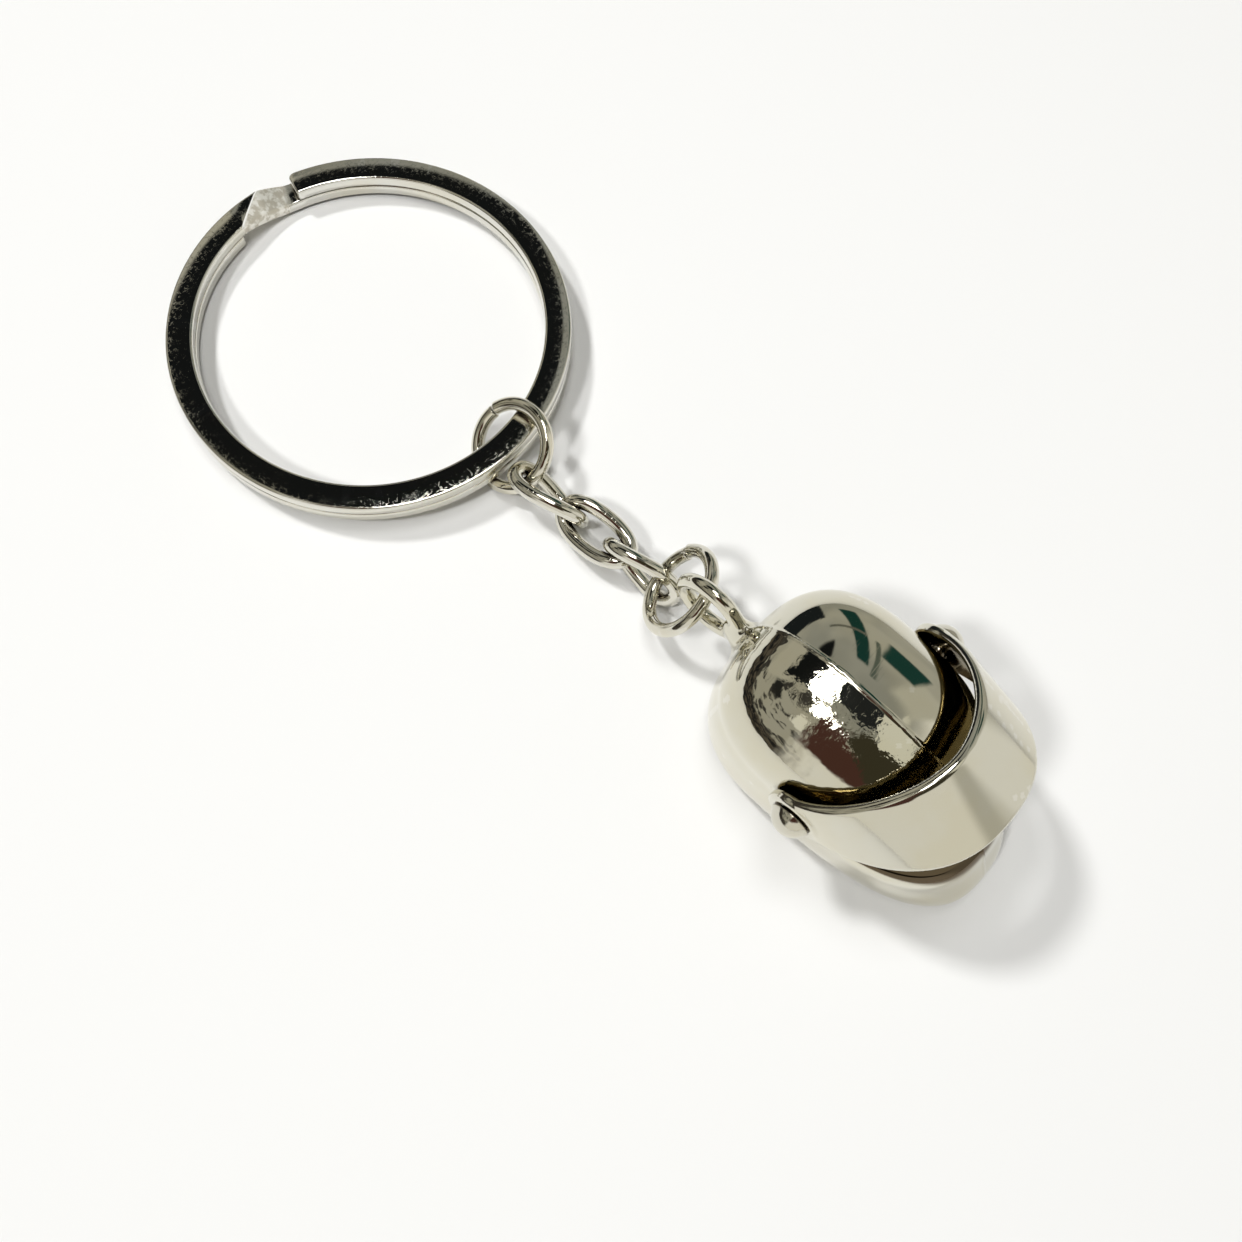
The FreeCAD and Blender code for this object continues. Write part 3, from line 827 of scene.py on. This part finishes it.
ring_plate = nickel("nickel_flat_wire", (0.70, 0.69, 0.64), 0.015, speckle=0.3, scratch=0.12, wear=0.5,
                    waviness=0.05, waviness_scale=240.0, pressed=ring_step)
wire_plate = nickel("nickel_round_wire", (0.70, 0.68, 0.60), 0.03, scratch=0.5, wear=0.3,
                    waviness=0.6, waviness_scale=420.0)
helmet_plate = nickel("nickel_casting", (0.68, 0.66, 0.565), 0.02, scratch=0.10,
                      waviness=0.35, waviness_scale=150.0, lining_and_shade=(0.13, 0.10, 0.065),
                      skins=[(650.0, 0.035, right_side), (2700.0, 0.012, right_top)])
visor_plate = nickel("nickel_visor", (0.68, 0.66, 0.57), 0.07, scratch=0.15,
                     waviness=0.3, waviness_scale=160.0, lining_and_shade=(0.25, 0.20, 0.105))
rivet_plate = nickel("nickel_rivet", (0.66, 0.64, 0.56), 0.04, scratch=0.8,
                     waviness=0.8, waviness_scale=500.0)


# ---------------------------------------------------------------- build

add_mesh("split_ring", *split_ring_mesh(), "split_ring", "ring_plate", ring_plate)
for node, setting in JUMP_RINGS.items():
    add_mesh(node, *jump_ring_mesh(*setting), node, "wire_plate", wire_plate)
for node, setting in LINKS.items():
    add_mesh(node, *link_mesh(*setting), node, "wire_plate", wire_plate)

NET_CELL = 0.13
SHELL_BOX = (30.2, -7.6, -0.4), (59.7, 7.6, 14.6)
VISOR_BOX = (43.8, -8.2, 7.0), (56.6, 8.2, 17.3)
points, quads, normals = surface_net(shell_field, *SHELL_BOX, NET_CELL)
add_mesh("helmet_shell", points, quads, "helmet", "helmet_plate", helmet_plate, normals)
points, quads, normals = surface_net(visor_field, *VISOR_BOX, NET_CELL)
add_mesh("visor", points, quads, "visor", "visor_plate", visor_plate, normals)
for node, side in (("visor_rivet_right", -1), ("visor_rivet_left", 1)):
    add_mesh(node, *rivet_mesh(side), "helmet", "rivet_plate", rivet_plate)


# ---------------------------------------------------------------- stage, light and camera

FLOOR_HALF = 1.6            # metres
FLOOR_PALE = (0.86, 0.86, 0.85, 1.0)
BACKDROP_PALE = (0.86, 0.86, 0.84, 1.0)


def floor():
    """A plain pale table top."""
    mesh = bpy.data.meshes.new("floor")
    corners = [(x * FLOOR_HALF, y * FLOOR_HALF, 0) for x, y in ((-1, -1), (1, -1), (1, 1), (-1, 1))]
    mesh.from_pydata(corners, [], [(0, 1, 2, 3)])
    material = bpy.data.materials.new("floor_white")
    material.use_nodes = True
    shader = material.node_tree.nodes["Principled BSDF"]
    shader.inputs["Base Color"].default_value = FLOOR_PALE
    shader.inputs["Roughness"].default_value = 0.6
    mesh.materials.append(material)
    made = bpy.data.objects.new("floor", mesh)
    bpy.context.scene.collection.objects.link(made)


def direction(azimuth, elevation):
    """The unit vector toward a place on the sky, in degrees; azimuth 0 is +X."""
    a, e = math.radians(azimuth), math.radians(elevation)
    return np.array([math.cos(a) * math.cos(e), math.sin(a) * math.cos(e), math.sin(e)])


AIM = np.array([0.044, -0.0015, 0.012])     # the crown, which the lamps point at


def lamp(name, azimuth, elevation, distance, size, power, mirrored):
    """A soft round lamp; one that isn't mirrored lights the scene but leaves no bright spot on the plate."""
    data = bpy.data.lights.new(name, "AREA")
    data.shape = "DISK"
    data.size = size
    data.energy = power
    made = bpy.data.objects.new(name, data)
    way = direction(azimuth, elevation)
    made.rotation_mode = "QUATERNION"
    made.rotation_quaternion = Vector(-way).to_track_quat("-Z", "Y")
    made.location = AIM + way * distance
    made.visible_glossy = mirrored
    bpy.context.scene.collection.objects.link(made)


WALL_DARK = (0.30, 0.30, 0.265, 1.0)
WALL_PALE = (0.44, 0.43, 0.37, 1.0)
CLUTTER_DARK = (0.045, 0.042, 0.036, 1.0)
CLUTTER_PALE = (0.40, 0.385, 0.32, 1.0)
SCREEN_PALE = (0.46, 0.44, 0.36, 1.0)
RAIL_DARK = (0.012, 0.012, 0.012, 1.0)
RAIL_BROWN = (0.10, 0.085, 0.065, 1.0)
MATT_DIMMING = 0.62         # matt surfaces see the studio this much dimmer, which deepens the shadows

# what the plate mirrors: azimuth, elevation, half width and half height in degrees, softness, lean, colour
PATCHES = [
    (-14, 12, 70, 34, 14, 0.0, (0.84, 0.825, 0.77)),
    (12, 26, 4, 24, 12, 0.0, (0.52, 0.51, 0.455)),
    (-68, 60, 20, 19, 6, 0.0, (0.075, 0.034, 0.026)),
    (-60, 72, 8, 3, 2, 0.0, (0.36, 0.34, 0.29)),
    (-22, 66, 34, 14, 5, 0.0, (0.045, 0.040, 0.024)),
    (72, 78, 38, 6, 2, 0.0, (0.018, 0.02, 0.02)),
    (33, 66, 22, 8, 1.5, 0.4, (0.74, 0.725, 0.62)),
    (148, 8, 11, 13, 2.0, 0.0, (0.012, 0.015, 0.016)),
    (108, 33, 5.5, 22, 2.0, 0.40, (0.010, 0.045, 0.037)),
    (66, 46, 9, 9, 6, 0.0, (0.52, 0.51, 0.44)),
    (83, 33, 5.0, 8, 2.5, 0.0, (0.012, 0.050, 0.042)),
    (118, 33, 16, 0.7, 1.0, 0.0, (0.13, 0.13, 0.11)),
    (90, 46, 1.0, 13, 1.0, 0.3, (0.10, 0.12, 0.10)),
    (155, 63, 23, 15, 3, 0.0, (0.008, 0.009, 0.009)),
    (-156, 48, 12, 4, 4, 0.0, (0.02, 0.02, 0.018)),
    (-104, 58, 7, 6, 3, 0.4, (0.80, 0.78, 0.68)),
]


def world():
    """A plain studio as bright plate sees it: pale walls, a dark rail low behind, and a few soft patches."""
    made = bpy.data.worlds.new("studio")
    made.use_nodes = True
    bpy.context.scene.world = made
    g = Graph(made.node_tree)
    made.node_tree.nodes.clear()
    background = g.node("ShaderNodeBackground")
    output = g.node("ShaderNodeOutputWorld")
    g.feed(output.inputs[0], background.outputs[0])
    way = g.node("ShaderNodeTexCoord").outputs["Generated"]
    x, y, z = g.parts(way)
    azimuth = g.math("MULTIPLY", g.math("ARCTAN2", y, x), math.degrees(1.0))
    elevation = g.math("MULTIPLY", g.math("ARCSINE", z), math.degrees(1.0))

    def box(centre, half, soft, level, half_up, soft_up, lean=0.0):
        """1 in a window of azimuth and elevation, soft at its edges; a lean makes it slant."""
        slant = g.math("MULTIPLY", g.math("SUBTRACT", elevation, level), lean)
        offset = g.math("SUBTRACT", g.math("ADD", azimuth, slant), centre)
        wrapped = g.node("ShaderNodeMath", operation="WRAP")
        for socket, value in zip(wrapped.inputs, (offset, 180.0, -180.0)):
            g.feed(socket, value)
        across = g.ramp(g.math("ABSOLUTE", wrapped.outputs[0]), half, half + soft, 1.0, 0.0)
        above = g.math("ABSOLUTE", g.math("SUBTRACT", elevation, level))
        up = g.ramp(above, half_up, half_up + soft_up, 1.0, 0.0)
        return g.math("MULTIPLY", across, up)

    walls = g.mix(g.ramp(g.noise(way, 1.6, 2.0, 0.5), 0.35, 0.65), WALL_DARK, WALL_PALE)
    clutter = g.noise(way, 4.2, 3.0, 0.55, (1.0, 1.0, 2.6), (0, 0, 0), (2.0, 1.0, 5.0))
    behind = g.mix(g.ramp(clutter, 0.40, 0.50), CLUTTER_DARK, CLUTTER_PALE)
    colour = g.mix(box(-140, 62, 8, 34, 44, 14), walls, behind)
    colour = g.mix(box(172, 13, 5, 40, 11, 4), colour, SCREEN_PALE)
    streaks = g.noise(way, 9.0, 2.0, 0.5, (1.0, 1.0, 3.0))
    rail = g.mix(g.ramp(streaks, 0.42, 0.6), RAIL_DARK, RAIL_BROWN)
    colour = g.mix(box(-150, 62, 8, 4, 10, 4), colour, rail)
    for centre, level, half, half_up, soft, lean, tint in PATCHES:
        colour = g.mix(box(centre, half, soft, level, half_up, soft, lean), colour, (*tint, 1.0))
    ray = g.node("ShaderNodeLightPath")
    colour = g.mix(ray.outputs["Is Camera Ray"], colour, BACKDROP_PALE)
    g.feed(background.inputs[0], colour)
    matt = ray.outputs["Is Diffuse Ray"]
    g.feed(background.inputs[1], g.math("SUBTRACT", 1.0, g.math("MULTIPLY", matt, MATT_DIMMING)))


CAMERA_PLACE = (40.586, -25.605, 83.38)     # millimetres
CAMERA_TURN = (16.351, -4.406, 42.695)      # degrees about X, Y and Z, from looking straight down
CAMERA_LENS = 34.78                         # millimetres, on a sensor 36 mm wide


def camera():
    """The camera looks down at the ring and the charm from the charm's right-hand side."""
    data = bpy.data.cameras.new("camera")
    data.sensor_width = 36.0
    data.lens = CAMERA_LENS
    data.clip_start = 0.005
    data.clip_end = 10.0
    made = bpy.data.objects.new("camera", data)
    made.location = [v * MM for v in CAMERA_PLACE]
    made.rotation_euler = [math.radians(v) for v in CAMERA_TURN]
    bpy.context.scene.collection.objects.link(made)
    bpy.context.scene.camera = made


floor()
world()
# azimuth and elevation in degrees, distance and size in metres, power in watts, whether it is mirrored
lamp("key", -172, 52, 2.2, 0.26, 24.0, False)
lamp("second", -107, 56, 2.2, 0.30, 18.0, False)
lamp("glare", 152, 76, 0.30, 0.094, 0.200, True)
lamp("small_glare", -112, 80, 0.30, 0.060, 0.080, True)
camera()
bpy.context.scene.view_settings.view_transform = "Standard"
